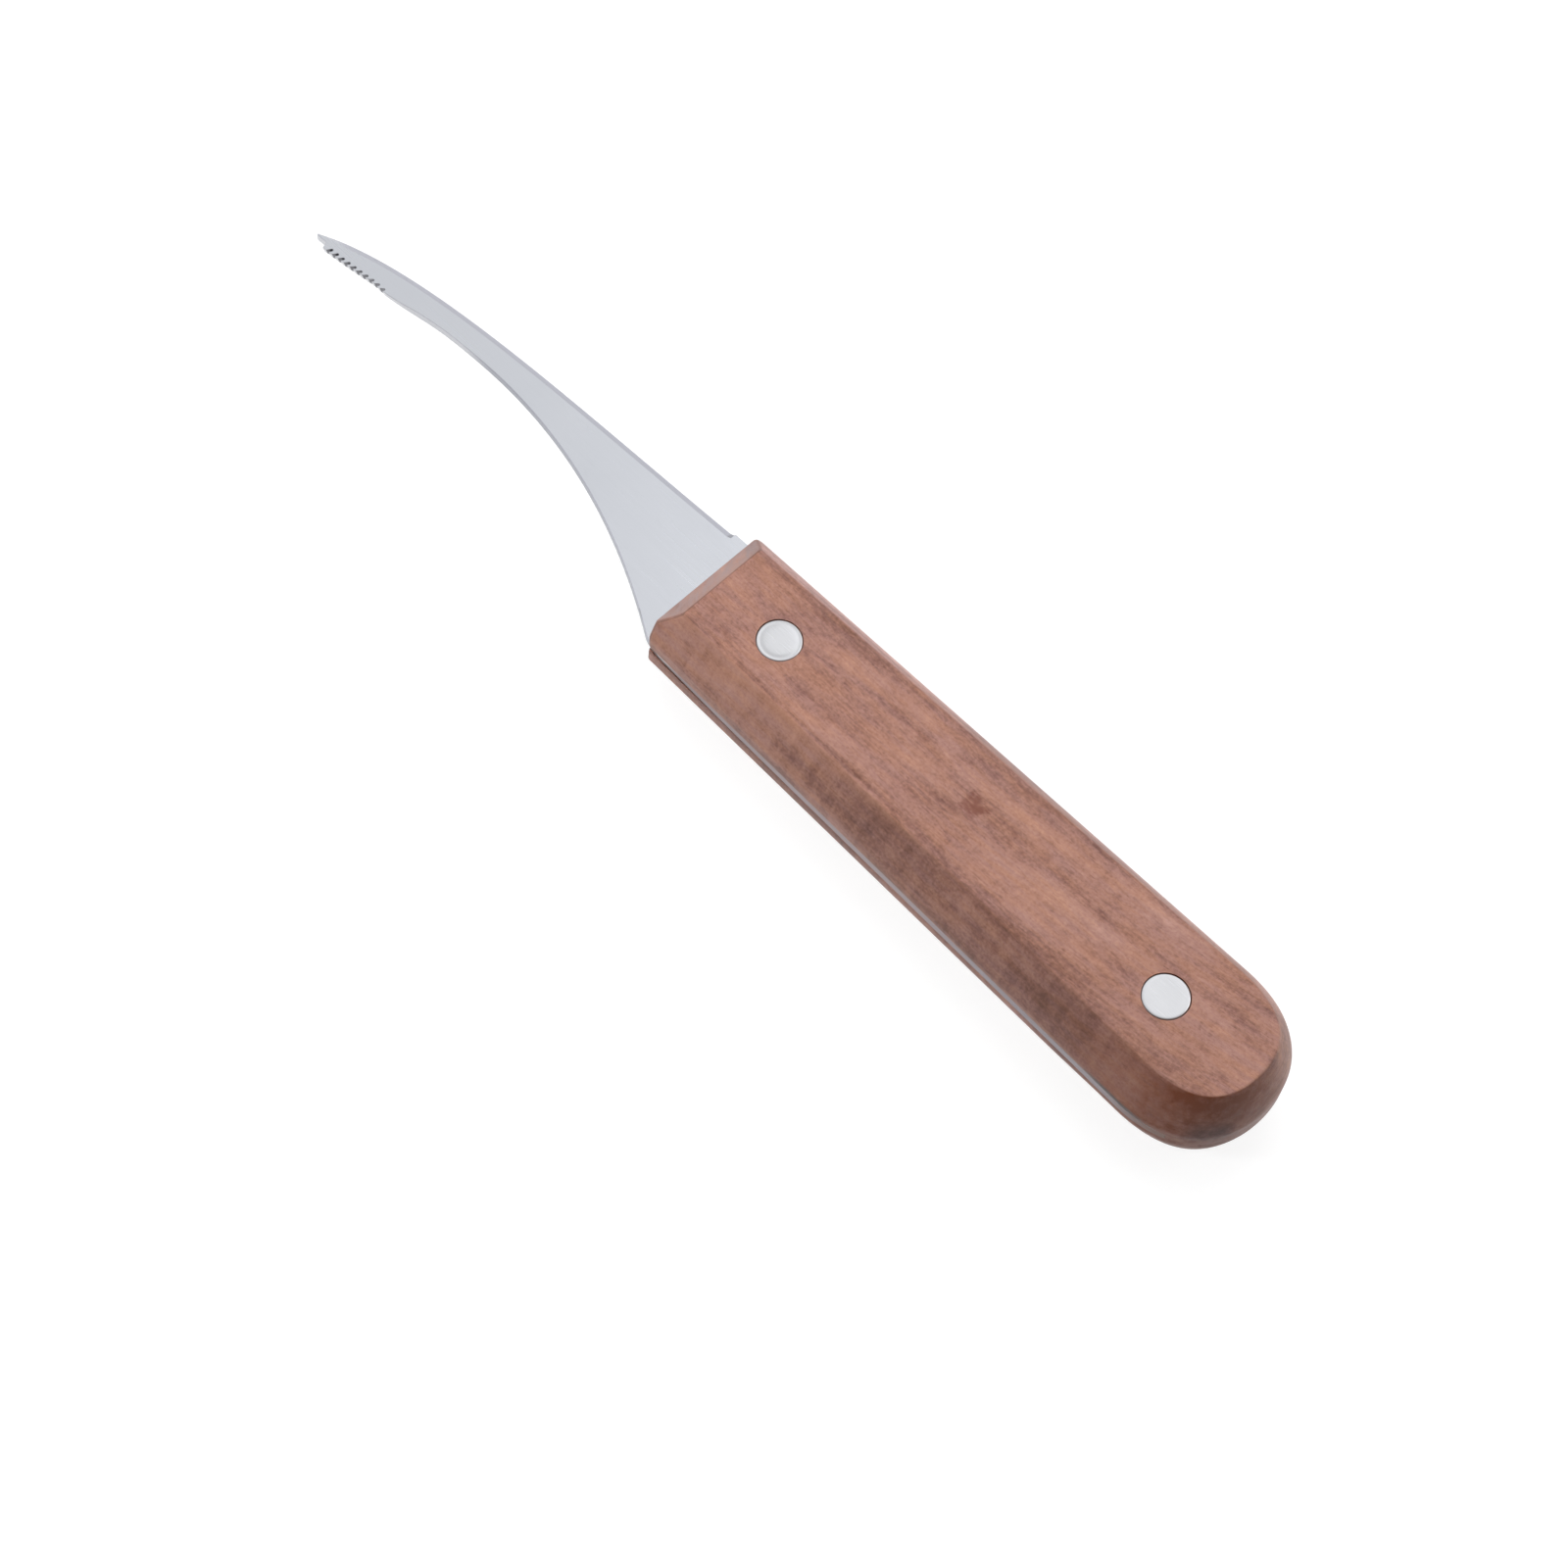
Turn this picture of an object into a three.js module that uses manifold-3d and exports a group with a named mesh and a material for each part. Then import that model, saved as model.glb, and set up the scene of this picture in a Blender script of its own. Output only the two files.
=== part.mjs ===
// Shrimp deveiner: a curved steel blade with saw teeth at its tip, whose long tang sits in the sawn slot
// of a wooden handle, held by two pairs of cutler's rivets. Millimetres. The knife lies on the handle's
// rear face: +X runs to the butt, +Y to the blade's convex edge, +Z up, and the origin is under the
// middle of its box.
import * as THREE from "three";
import { mergeVertices } from "three/addons/utils/BufferGeometryUtils.js";
import Module from "manifold-3d";

const wasm = await Module();
wasm.setup();

// Overall sizes
const LENGTH = 164.85;
const HANDLE_WIDTH = 22.86;
const PLATE_THICKNESS = 1.2;
const CHEEK_THICKNESS = 7.4;
const TIP_X = -LENGTH / 2;
const BUTT_X = LENGTH / 2;
const PLATE_BOTTOM_Z = CHEEK_THICKNESS;
const PLATE_TOP_Z = CHEEK_THICKNESS + PLATE_THICKNESS;
const TOP_Z = 2 * CHEEK_THICKNESS + PLATE_THICKNESS;

// Handle plan: a slow taper that swells to the butt, then a squarish round end
const HANDLE_FRONT_X = -10.4;
const HANDLE_FRONT_WIDTH = 19.5;
const BUTT_CURVE_X = 70;
const BUTT_FULLNESS = 0.62; // 0.552 is an ellipse, 1 a square corner
const FACE_FULLNESS = 0.68; // the same for the flat face inside the bevel
const FRONT_CORNER = 0.7;

// Handle section: an upright land beside the tang, then a long bevel up to the flat face
const LAND_FRONT = 1.9;
const LAND_BUTT = 0.9;
const SIDE_BEVEL = 3.25;
const BUTT_BEVEL = 2.45;
const BEVEL_CROWN = 0.1; // bulge at half height, as a share of the bevel
const BEVEL_STEPS = 5;
const FRONT_BEVEL_LENGTH = 2.5;
const FRONT_BEVEL_DROP = 3;

// Tang: a little narrower than the wood at the front, flush with it at the rear, where the slot's end
// has the curve of the saw
const TANG_LOWER_Y = -9.5;
const TANG_UPPER_Y = 9.05;
const HEEL_LENGTH = 4.8;
const TANG_END_X = 76.9;
const TANG_END_GAP = 0.3;
const SAW_RADIUS = 60;

// Blade edges, as the end and control points of two cubic curves
const TIP_RADIUS = 0.25;
const TIP_Y = 0.72;
const TIP_NORMAL = THREE.MathUtils.degToRad(116.7);
const CONVEX_HANDLES = [new THREE.Vector2(-69.1, 7.6), new THREE.Vector2(-41, 7.45)];
const CONVEX_END = new THREE.Vector2(-15.2, 8.77);
const RICASSO_X = -14;
const RICASSO_Y = 9;
const CONCAVE_START = new THREE.Vector2(-80.3, -0.08);
const CONCAVE_HANDLES = [new THREE.Vector2(-65, 1.2), new THREE.Vector2(-42.5, 9.9)];
const CONCAVE_END = new THREE.Vector2(-11.7, -8.8);
const TOOTH_FRONT = new THREE.Vector2(-80.6, 0.55);

// Grinding of the convex edge, alike on both sides of the plate
const GRIND_WIDTH = 0.8;
const GRIND_TIP_SHARE = 0.4;
const GRIND_TIP_LENGTH = 5;
const EDGE_LAND = 0.3;
const PLUNGE_LENGTH = 1.3;

// Saw teeth: raked round-bottomed gullets that get shallower towards the handle
const GULLET_COUNT = 10;
const GULLET_FIRST_X = -79.82;
const GULLET_PITCH = 1;
const GULLET_WIDTH = 0.48;
const GULLET_DEPTH_FIRST = 0.65;
const GULLET_DEPTH_LAST = 0.45;
const GULLET_RAKE = THREE.MathUtils.degToRad(16);

// Cutler's rivets
const RIVET_X = { front: 2.57, rear: 65.9 };
const RIVET_Y = -0.57;
const RIVET_HEAD_RADIUS = 2.85;
const RIVET_HEAD_HEIGHT = 1.2;
const RIVET_RIM = 0.22;
const RIVET_SINK = 0.05;
const TUBE_RADIUS = 1.7;
const TUBE_LENGTH = 10.5;
const TUBE_BORE_RADIUS = 1.25;
const TUBE_BORE_DEPTH = 9.8;
const SHANK_RADIUS = 1.15;
const SHANK_LENGTH = 11.6;
const HEAD_CLEARANCE = 0.1;
const TUBE_CLEARANCE = 0.1;

// Facets
const EDGE_STEPS = 44;
const TIP_CROWDING = 1.3; // over 1, the convex edge's facets get shorter towards the tip
const BUTT_STEPS = 14;
const SMALL_ARC_STEPS = 5;
const ROUND_STEPS = 40;
const CUT_OVERRUN = 1;

const steel = new THREE.MeshStandardMaterial({ color: 0xcdd0d6, roughness: 0.38, metalness: 1 });
const wood = new THREE.MeshStandardMaterial({ color: 0xa0705a, roughness: 0.55, metalness: 0 });
const aluminium = new THREE.MeshStandardMaterial({ color: 0xe0e2e6, roughness: 0.3, metalness: 1 });

// Closed solid from any closed geometry, with shared corners merged and collapsed triangles dropped
function solidFrom(geometry) {
  geometry.deleteAttribute("normal");
  geometry.deleteAttribute("uv");
  const merged = mergeVertices(geometry, 1e-5);
  const corners = merged.index.array;
  const kept = [];
  for (let i = 0; i < corners.length; i += 3) {
    const [a, b, c] = corners.slice(i, i + 3);
    if (a !== b && b !== c && c !== a) kept.push(a, b, c);
  }
  const vertProperties = new Float32Array(merged.attributes.position.array);
  const triVerts = new Uint32Array(kept);
  return new wasm.Manifold(new wasm.Mesh({ numProp: 3, vertProperties, triVerts }));
}

function meshFrom(name, solid, material) {
  const { vertProperties, triVerts } = solid.getMesh();
  const geometry = new THREE.BufferGeometry();
  geometry.setAttribute("position", new THREE.BufferAttribute(vertProperties, 3));
  geometry.setIndex(new THREE.BufferAttribute(triVerts, 1));
  geometry.computeVertexNormals();
  const mesh = new THREE.Mesh(geometry, material);
  mesh.name = name;
  return mesh;
}

// Loft through outlines that turn anticlockwise and have as many points each, from the lowest up
function loft(rings) {
  const count = rings[0].outline.length;
  const positions = rings.flatMap(({ outline, z }) => outline.flatMap((p) => [p.x, p.y, z]));
  const index = [];
  for (let level = 0; level + 1 < rings.length; level++) {
    for (let i = 0; i < count; i++) {
      const a = level * count + i;
      const b = level * count + ((i + 1) % count);
      index.push(a, b, b + count, a, b + count, a + count);
    }
  }
  const last = (rings.length - 1) * count;
  for (const [a, b, c] of THREE.ShapeUtils.triangulateShape(rings[0].outline, [])) {
    index.push(a, c, b);
  }
  for (const [a, b, c] of THREE.ShapeUtils.triangulateShape(rings.at(-1).outline, [])) {
    index.push(last + a, last + b, last + c);
  }
  const geometry = new THREE.BufferGeometry();
  geometry.setAttribute("position", new THREE.Float32BufferAttribute(positions, 3));
  geometry.setIndex(index);
  return solidFrom(geometry);
}

// Upright round cutter
function drill(radius, x, y, fromZ, toZ) {
  const geometry = new THREE.CylinderGeometry(radius, radius, toZ - fromZ, ROUND_STEPS);
  geometry.rotateX(Math.PI / 2);
  geometry.translate(x, y, (fromZ + toZ) / 2);
  return solidFrom(geometry);
}

// Points of a curve without its last one, so that curves can follow each other round an outline
function stretch(curve, steps) {
  return curve.getPoints(steps).slice(0, -1);
}

const vec = (x, y) => new THREE.Vector2(x, y);

// The round butt in two curves: from the lower side to the end, and from the end to the upper side
function buttCurves(halfWidth, endX, fullness) {
  const reach = BUTT_CURVE_X + fullness * (endX - BUTT_CURVE_X);
  const rise = fullness * halfWidth;
  const half = (side) => [
    vec(BUTT_CURVE_X, side * halfWidth),
    vec(reach, side * halfWidth),
    vec(endX, side * rise),
    vec(endX, 0),
  ];
  return [
    new THREE.CubicBezierCurve(...half(-1)),
    new THREE.CubicBezierCurve(...half(1).reverse()),
  ];
}

// Share of the bevel that is drawn in at a height over the slot, above a land of the given height
function bevelShare(height, land) {
  const t = Math.max(0, (height - land) / (CHEEK_THICKNESS - land));
  return t - 4 * BEVEL_CROWN * t * (1 - t);
}

// Plan outline of the handle at a height over or under the slot
function handleOutline(height) {
  const frontHalf = HANDLE_FRONT_WIDTH / 2 - SIDE_BEVEL * bevelShare(height, LAND_FRONT);
  const share = bevelShare(height, LAND_BUTT);
  const buttHalf = HANDLE_WIDTH / 2 - SIDE_BEVEL * share;
  const fullness = THREE.MathUtils.lerp(BUTT_FULLNESS, FACE_FULLNESS, share);
  const [lowerButt, upperButt] = buttCurves(buttHalf, BUTT_X - BUTT_BEVEL * share, fullness);
  const corner = (side) => [
    vec(HANDLE_FRONT_X, side * (frontHalf - FRONT_CORNER)),
    vec(HANDLE_FRONT_X, side * frontHalf),
    vec(HANDLE_FRONT_X + FRONT_CORNER, side * frontHalf),
  ];
  return [
    ...new THREE.QuadraticBezierCurve(...corner(-1)).getPoints(SMALL_ARC_STEPS),
    ...stretch(lowerButt, BUTT_STEPS),
    ...upperButt.getPoints(BUTT_STEPS),
    ...new THREE.QuadraticBezierCurve(...corner(1).reverse()).getPoints(SMALL_ARC_STEPS),
  ];
}

// Wedge that slopes the front end of the handle, at its face that looks up (1) or down (-1)
function frontBevelCutter(side) {
  const faceZ = side > 0 ? TOP_Z : 0;
  const slope = (side * FRONT_BEVEL_DROP) / FRONT_BEVEL_LENGTH;
  const lineZ = (x) => faceZ + slope * (x - HANDLE_FRONT_X - FRONT_BEVEL_LENGTH);
  const nearX = HANDLE_FRONT_X - CUT_OVERRUN;
  const farX = HANDLE_FRONT_X + FRONT_BEVEL_LENGTH + CUT_OVERRUN;
  const section = new THREE.Shape([
    vec(nearX, lineZ(nearX)),
    vec(farX, lineZ(farX)),
    vec(nearX, lineZ(farX)),
  ]);
  const geometry = new THREE.ExtrudeGeometry(section, { depth: HANDLE_WIDTH, bevelEnabled: false });
  geometry.rotateX(Math.PI / 2);
  geometry.translate(0, HANDLE_WIDTH / 2, 0);
  return solidFrom(geometry);
}

// Slab over the handle's width, from the saw's round end to a straight one
function sawnSlab(roundX, straightX, fromZ, toZ) {
  const halfWidth = HANDLE_WIDTH / 2 + CUT_OVERRUN;
  const sweep = Math.asin(halfWidth / SAW_RADIUS);
  const shape = new THREE.Shape();
  shape.absarc(roundX - SAW_RADIUS, 0, SAW_RADIUS, -sweep, sweep, false);
  shape.lineTo(straightX, halfWidth);
  shape.lineTo(straightX, -halfWidth);
  const geometry = new THREE.ExtrudeGeometry(shape, {
    depth: toZ - fromZ,
    bevelEnabled: false,
    curveSegments: BUTT_STEPS,
  });
  geometry.translate(0, 0, fromZ);
  return solidFrom(geometry);
}

function makeHandle() {
  const heights = [0, LAND_BUTT];
  for (let i = 0; i <= BEVEL_STEPS; i++) {
    heights.push(THREE.MathUtils.lerp(LAND_FRONT, CHEEK_THICKNESS, i / BEVEL_STEPS));
  }
  const lower = heights.map((height) => ({ outline: handleOutline(height), z: PLATE_BOTTOM_Z - height }));
  const upper = heights.map((height) => ({ outline: handleOutline(height), z: PLATE_TOP_Z + height }));
  let solid = loft([...lower.reverse(), ...upper]);
  solid = solid.subtract(
    sawnSlab(TANG_END_X + TANG_END_GAP, HANDLE_FRONT_X - CUT_OVERRUN, PLATE_BOTTOM_Z, PLATE_TOP_Z),
  );
  solid = solid.subtract(frontBevelCutter(1)).subtract(frontBevelCutter(-1));
  const seatDepth = RIVET_HEAD_HEIGHT + RIVET_SINK;
  const seatRadius = RIVET_HEAD_RADIUS + HEAD_CLEARANCE;
  for (const x of Object.values(RIVET_X)) {
    solid = solid
      .subtract(drill(seatRadius, x, RIVET_Y, TOP_Z - seatDepth, TOP_Z + CUT_OVERRUN))
      .subtract(drill(seatRadius, x, RIVET_Y, -CUT_OVERRUN, seatDepth))
      .subtract(drill(TUBE_RADIUS + TUBE_CLEARANCE, x, RIVET_Y, 0, TOP_Z));
  }
  return meshFrom("handle", solid, wood);
}

const tipCentre = vec(TIP_X + TIP_RADIUS, TIP_Y);
const convexStart = tipCentre
  .clone()
  .add(vec(Math.cos(TIP_NORMAL), Math.sin(TIP_NORMAL)).multiplyScalar(TIP_RADIUS));
const convexEdge = new THREE.CubicBezierCurve(CONVEX_END, ...CONVEX_HANDLES.toReversed(), convexStart);
const concaveEdge = new THREE.CubicBezierCurve(CONCAVE_START, ...CONCAVE_HANDLES, CONCAVE_END);

// Share of the full grind at a point of the convex edge: none at the plunge, narrow at the tip
function grindShare(x) {
  const plunge = THREE.MathUtils.smoothstep(CONVEX_END.x - x, 0, PLUNGE_LENGTH);
  const tip = THREE.MathUtils.smoothstep(x - TIP_X, 0, GRIND_TIP_LENGTH);
  return plunge * THREE.MathUtils.lerp(GRIND_TIP_SHARE, 1, tip);
}

// The convex edge from the plunge to the tip, drawn into the plate by a share of the grind
function convexPoints(share) {
  const points = [];
  for (let i = 0; i < EDGE_STEPS; i++) {
    const t = 1 - (1 - i / EDGE_STEPS) ** TIP_CROWDING;
    const at = convexEdge.getPoint(t);
    const along = convexEdge.getTangent(t);
    const inward = vec(-along.y, along.x).multiplyScalar(share * GRIND_WIDTH * grindShare(at.x));
    points.push(at.add(inward));
  }
  return points;
}

// Round tip, from the convex edge to the short lower edge in front of the teeth
function tipPoints(share) {
  const points = [];
  for (let i = 0; i <= SMALL_ARC_STEPS; i++) {
    const t = i / SMALL_ARC_STEPS;
    const angle = THREE.MathUtils.lerp(TIP_NORMAL, 1.5 * Math.PI, t);
    const radius = TIP_RADIUS - share * GRIND_WIDTH * GRIND_TIP_SHARE * (1 - t);
    points.push(vec(Math.cos(angle), Math.sin(angle)).multiplyScalar(radius).add(tipCentre));
  }
  return points;
}

// Outline of blade and tang, anticlockwise from the ricasso, at the edge (0) or the ground face (1).
// The tang follows the handle's plan here, and is cut to length later.
function plateOutline(share) {
  const [lowerButt, upperButt] = buttCurves(HANDLE_WIDTH / 2, BUTT_X, BUTT_FULLNESS);
  const heel = new THREE.QuadraticBezierCurve(
    CONCAVE_END,
    vec(CONCAVE_END.x + HEEL_LENGTH / 4, TANG_LOWER_Y),
    vec(CONCAVE_END.x + HEEL_LENGTH, TANG_LOWER_Y),
  );
  const plunge = new THREE.CubicBezierCurve(
    vec(RICASSO_X, RICASSO_Y),
    vec((RICASSO_X + CONVEX_END.x) / 2, RICASSO_Y),
    vec((RICASSO_X + CONVEX_END.x) / 2, CONVEX_END.y),
    CONVEX_END,
  );
  return [
    vec(HANDLE_FRONT_X, TANG_UPPER_Y),
    ...stretch(plunge, SMALL_ARC_STEPS),
    ...convexPoints(share),
    ...tipPoints(share),
    TOOTH_FRONT,
    ...stretch(concaveEdge, EDGE_STEPS),
    ...heel.getPoints(SMALL_ARC_STEPS),
    ...stretch(lowerButt, BUTT_STEPS),
    ...upperButt.getPoints(BUTT_STEPS),
  ];
}

// Point of the concave edge at a given x
function concavePointAt(x) {
  let [low, high] = [0, 1];
  while (high - low > 1e-6) {
    const middle = (low + high) / 2;
    if (concaveEdge.getPoint(middle).x < x) low = middle;
    else high = middle;
  }
  return concaveEdge.getPoint(low);
}

// Round-bottomed slot cutter for one gullet, its mouth on the concave edge
function gulletCutter(number) {
  const depth = THREE.MathUtils.lerp(
    GULLET_DEPTH_FIRST,
    GULLET_DEPTH_LAST,
    number / (GULLET_COUNT - 1),
  );
  const radius = GULLET_WIDTH / 2;
  const slot = new THREE.Shape();
  slot.moveTo(radius, -CUT_OVERRUN);
  slot.lineTo(radius, depth - radius);
  slot.absarc(0, depth - radius, radius, 0, Math.PI, false);
  slot.lineTo(-radius, -CUT_OVERRUN);
  const geometry = new THREE.ExtrudeGeometry(slot, {
    depth: PLATE_THICKNESS + 2 * CUT_OVERRUN,
    bevelEnabled: false,
    curveSegments: SMALL_ARC_STEPS,
  });
  const mouth = concavePointAt(GULLET_FIRST_X + number * GULLET_PITCH);
  geometry.rotateZ(-GULLET_RAKE);
  geometry.translate(mouth.x, mouth.y, PLATE_BOTTOM_Z - CUT_OVERRUN);
  return solidFrom(geometry);
}

function makeBladeTang() {
  const edge = plateOutline(0);
  const ground = plateOutline(1);
  const middleZ = (PLATE_BOTTOM_Z + PLATE_TOP_Z) / 2;
  let solid = loft([
    { outline: ground, z: PLATE_BOTTOM_Z },
    { outline: edge, z: middleZ - EDGE_LAND / 2 },
    { outline: edge, z: middleZ + EDGE_LAND / 2 },
    { outline: ground, z: PLATE_TOP_Z },
  ]);
  solid = solid.subtract(sawnSlab(TANG_END_X, BUTT_X + CUT_OVERRUN, 0, TOP_Z));
  for (let number = 0; number < GULLET_COUNT; number++) {
    solid = solid.subtract(gulletCutter(number));
  }
  for (const x of Object.values(RIVET_X)) {
    solid = solid.subtract(drill(TUBE_RADIUS + TUBE_CLEARANCE, x, RIVET_Y, 0, TOP_Z));
  }
  return meshFrom("blade_tang", solid, steel);
}

// Revolved rivet half with its head up and its face at height 0, from a profile of radius and height
function rivetHalf(name, stem) {
  const profile = [
    vec(0, 0),
    vec(RIVET_HEAD_RADIUS - RIVET_RIM, 0),
    vec(RIVET_HEAD_RADIUS, -RIVET_RIM / 2),
    vec(RIVET_HEAD_RADIUS, -RIVET_HEAD_HEIGHT),
    ...stem.map(([radius, drop]) => vec(radius, -RIVET_HEAD_HEIGHT - drop)),
  ];
  const geometry = new THREE.LatheGeometry(profile.reverse(), ROUND_STEPS);
  geometry.rotateX(Math.PI / 2);
  return meshFrom(name, solidFrom(geometry), aluminium);
}

function makeFemaleRivet(end) {
  const half = rivetHalf(`${end}_rivet_female`, [
    [TUBE_RADIUS, 0],
    [TUBE_RADIUS, TUBE_LENGTH],
    [TUBE_BORE_RADIUS, TUBE_LENGTH],
    [TUBE_BORE_RADIUS, TUBE_LENGTH - TUBE_BORE_DEPTH],
    [0, TUBE_LENGTH - TUBE_BORE_DEPTH],
  ]);
  half.position.set(RIVET_X[end], RIVET_Y, TOP_Z - RIVET_SINK);
  return half;
}

function makeMaleRivet(end) {
  const half = rivetHalf(`${end}_rivet_male`, [
    [SHANK_RADIUS, 0],
    [SHANK_RADIUS, SHANK_LENGTH],
    [0, SHANK_LENGTH],
  ]);
  half.position.set(RIVET_X[end], RIVET_Y, RIVET_SINK);
  half.rotation.x = Math.PI;
  return half;
}

const knife = new THREE.Group();
knife.name = "shrimp_deveiner";
knife.add(makeBladeTang(), makeHandle());
for (const end of Object.keys(RIVET_X)) {
  knife.add(makeFemaleRivet(end), makeMaleRivet(end));
}

export default knife;
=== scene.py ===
import math

import bmesh
import bpy
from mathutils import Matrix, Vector
from mathutils.geometry import interpolate_bezier


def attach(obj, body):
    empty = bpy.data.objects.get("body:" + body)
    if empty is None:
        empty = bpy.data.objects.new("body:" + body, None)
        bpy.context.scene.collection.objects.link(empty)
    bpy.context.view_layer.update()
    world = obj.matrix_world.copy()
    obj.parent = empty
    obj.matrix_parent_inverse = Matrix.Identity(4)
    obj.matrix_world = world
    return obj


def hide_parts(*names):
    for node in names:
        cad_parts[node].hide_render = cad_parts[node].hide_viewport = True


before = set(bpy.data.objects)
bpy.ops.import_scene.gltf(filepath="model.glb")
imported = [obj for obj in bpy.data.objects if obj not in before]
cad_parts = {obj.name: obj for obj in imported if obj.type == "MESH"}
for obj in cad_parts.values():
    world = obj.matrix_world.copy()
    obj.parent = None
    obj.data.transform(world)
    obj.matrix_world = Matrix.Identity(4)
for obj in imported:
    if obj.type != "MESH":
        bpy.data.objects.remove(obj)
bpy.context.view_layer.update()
scene = bpy.context.scene
scene.view_settings.view_transform = "Standard"
mm = 0.001
print("frame loaded:", sorted(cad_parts))


# shader maths

class Wire:  # one socket of a node tree, so that values can be worked out as expressions
    def __init__(self, tree, socket=None):
        self.tree = tree
        self.socket = socket

    def node(self, kind, settings=None, sockets=None, output=0):
        made = self.tree.nodes.new(kind)
        for name, value in (settings or {}).items():
            if name == "stops":
                ramp = made.color_ramp
                ramp.elements[0].position = value[0][0]
                ramp.elements[1].position = value[-1][0]
                for place, colour in value[1:-1]:
                    ramp.elements.new(place)
                for stop, (place, colour) in zip(ramp.elements, value):
                    stop.color = (*colour, 1)
            else:
                setattr(made, name, value)
        for name, value in (sockets or {}).items():
            if isinstance(value, Wire):
                self.tree.links.new(value.socket, made.inputs[name])
            else:
                made.inputs[name].default_value = value
        return Wire(self.tree, made.outputs[output] if made.outputs else None)

    def other(self, output):  # another output of the same node
        return Wire(self.tree, self.socket.node.outputs[output])

    def calc(self, operation, *values):
        return self.node("ShaderNodeMath", {"operation": operation}, dict(enumerate(values)))

    def __add__(self, value):
        return self.calc("ADD", self, value)

    def __radd__(self, value):
        return self.calc("ADD", value, self)

    def __sub__(self, value):
        return self.calc("SUBTRACT", self, value)

    def __rsub__(self, value):
        return self.calc("SUBTRACT", value, self)

    def __mul__(self, value):
        return self.calc("MULTIPLY", self, value)

    def __rmul__(self, value):
        return self.calc("MULTIPLY", value, self)

    def ease(self, low, high):  # 0 at low, 1 at high, smooth between them
        return self.node("ShaderNodeMapRange", {"interpolation_type": "SMOOTHSTEP"},
                         {"Value": self, "From Min": low, "From Max": high})


def newMaterial(name):
    made = bpy.data.materials.new(name)
    made.use_nodes = True
    made.node_tree.nodes.clear()
    return made, Wire(made.node_tree)


def millimetres(wire):  # the piece's own coordinates, in millimetres
    place = wire.node("ShaderNodeTexCoord", output="Object")
    return wire.node("ShaderNodeMapping", {}, {"Vector": place, "Scale": (1000, 1000, 1000)})


def split(place):
    x = place.node("ShaderNodeSeparateXYZ", {}, {"Vector": place})
    return x, x.other(1), x.other(2)


def join(x, y, z):
    first = next(v for v in (x, y, z) if isinstance(v, Wire))
    return first.node("ShaderNodeCombineXYZ", {}, {"X": x, "Y": y, "Z": z})


def noise(place, scale, detail=2, rough=0.5):
    return place.node("ShaderNodeTexNoise", {}, {
        "Vector": place, "Scale": scale, "Detail": detail, "Roughness": rough})


def measure(operation, place, other):  # one number from two vectors
    return place.node("ShaderNodeVectorMath", {"operation": operation}, {0: place, 1: other}, output="Value")


def mixColour(share, first, second):
    return share.node("ShaderNodeMix", {"data_type": "RGBA"}, {0: share, 6: first, 7: second}, output=2)


def bump(height, strength, distance):
    return height.node("ShaderNodeBump", {}, {"Height": height, "Strength": strength, "Distance": distance})


def coat(wire, values):  # the surface shader and its output
    shader = wire.node("ShaderNodeBsdfPrincipled", {}, values)
    wire.node("ShaderNodeOutputMaterial", {}, {"Surface": shader})


# mesh helpers

def between(a, b, t):
    return a + (b - a) * t


def easeBetween(x, low, high):
    t = min(1, max(0, (x - low) / (high - low)))
    return t * t * (3 - 2 * t)


def curvePoints(a, b, c, d, steps):  # a cubic curve without its last point
    knots = [Vector((*p, 0)) for p in (a, b, c, d)]
    return [p.to_2d() for p in interpolate_bezier(*knots, steps + 1)[:-1]]


def linePoints(a, b, shares):
    return [Vector(a).lerp(Vector(b), t) for t in shares]


def loftRings(rings):  # skin through rings of as many points each, closed by a face at both ends
    bm = bmesh.new()
    verts = [bm.verts.new(p) for p in rings[0]]
    loop = [bm.edges.new(pair) for pair in zip(verts, verts[1:] + verts[:1])]
    bmesh.ops.contextual_create(bm, geom=loop)
    for ring in rings[1:]:
        made = bmesh.ops.extrude_edge_only(bm, edges=loop)["geom"]
        fresh = {v for v in made if isinstance(v, bmesh.types.BMVert)}
        loop = [e for e in made if isinstance(e, bmesh.types.BMEdge) and fresh.issuperset(e.verts)]
        verts = [next(e.other_vert(v) for e in v.link_edges if e.other_vert(v) in fresh) for v in verts]
        for v, p in zip(verts, ring):
            v.co = p
    bmesh.ops.contextual_create(bm, geom=loop)
    bmesh.ops.recalc_face_normals(bm, faces=bm.faces)
    return bm


def newPiece(bm, name):
    mesh = bpy.data.meshes.new(name)
    bm.to_mesh(mesh)
    bm.free()
    made = bpy.data.objects.new(name, mesh)
    scene.collection.objects.link(made)
    return made


def cutAway(piece, cutter):
    cut = piece.modifiers.new("cut", "BOOLEAN")
    cut.operation = "DIFFERENCE"
    cut.solver = "EXACT"
    cut.object = cutter
    cutMesh = bpy.data.meshes.new_from_object(piece.evaluated_get(bpy.context.evaluated_depsgraph_get()))
    piece.modifiers.clear()
    piece.data = cutMesh
    cutMesh.name = piece.name
    bpy.data.objects.remove(cutter)


def shadeSmooth(piece, sharpAngle):
    for face in piece.data.polygons:
        face.use_smooth = True
    piece.data.set_sharp_from_angle(angle=math.radians(sharpAngle))


def fitPiece(piece, node, material):
    piece.data.materials.clear()
    piece.data.materials.append(material)
    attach(piece, "root")
    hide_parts(node)


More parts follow.
